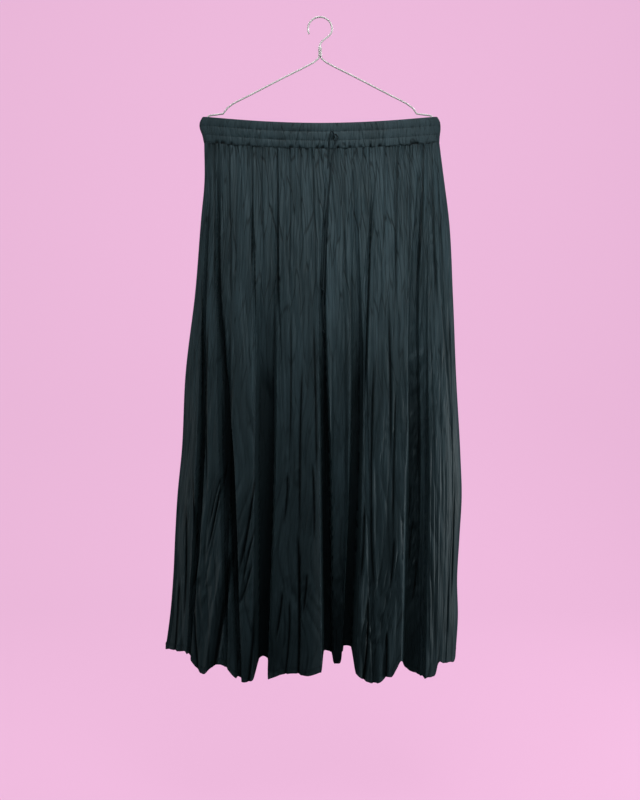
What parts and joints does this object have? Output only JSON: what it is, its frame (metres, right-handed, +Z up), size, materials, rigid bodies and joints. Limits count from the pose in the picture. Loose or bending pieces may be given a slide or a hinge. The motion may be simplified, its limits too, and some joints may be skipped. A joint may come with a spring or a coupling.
{
  "type": "crinkle maxi skirt on a wire hanger",
  "caption": "Long crinkle skirt with an elastic casing waistband and a front drawstring, hanging open-hemmed by its waist from a slim coated wire hanger.",
  "frame": {"origin": "inside top of the hanger's hook, where a rail carries it, on the plane of the hanger", "axes": "+Z up, the skirt's front faces -Y, +X to the right of someone who looks at the front"},
  "size_m": [0.5022, 0.1733, 1.1028],
  "materials": {
    "cloth": "satin-faced crinkle weave",
    "waistband_cloth": "crinkle weave gathered over elastic",
    "cord": "thin round cord",
    "hanger_wire": "smooth white coating"
  },
  "bodies": {
    "root": {"front_panel": "cloth", "back_panel": "cloth", "waistband_front": "waistband_cloth", "waistband_back": "waistband_cloth", "drawstring_left": "cord", "drawstring_right": "cord", "drawstring_knot_left": "cord", "drawstring_knot_right": "cord", "hanger_arm_left": "hanger_wire", "hanger_arm_right": "hanger_wire", "hanger_bar": "hanger_wire", "hanger_neck": "hanger_wire", "hanger_hook": "hanger_wire"}
  },
  "joints": []
}
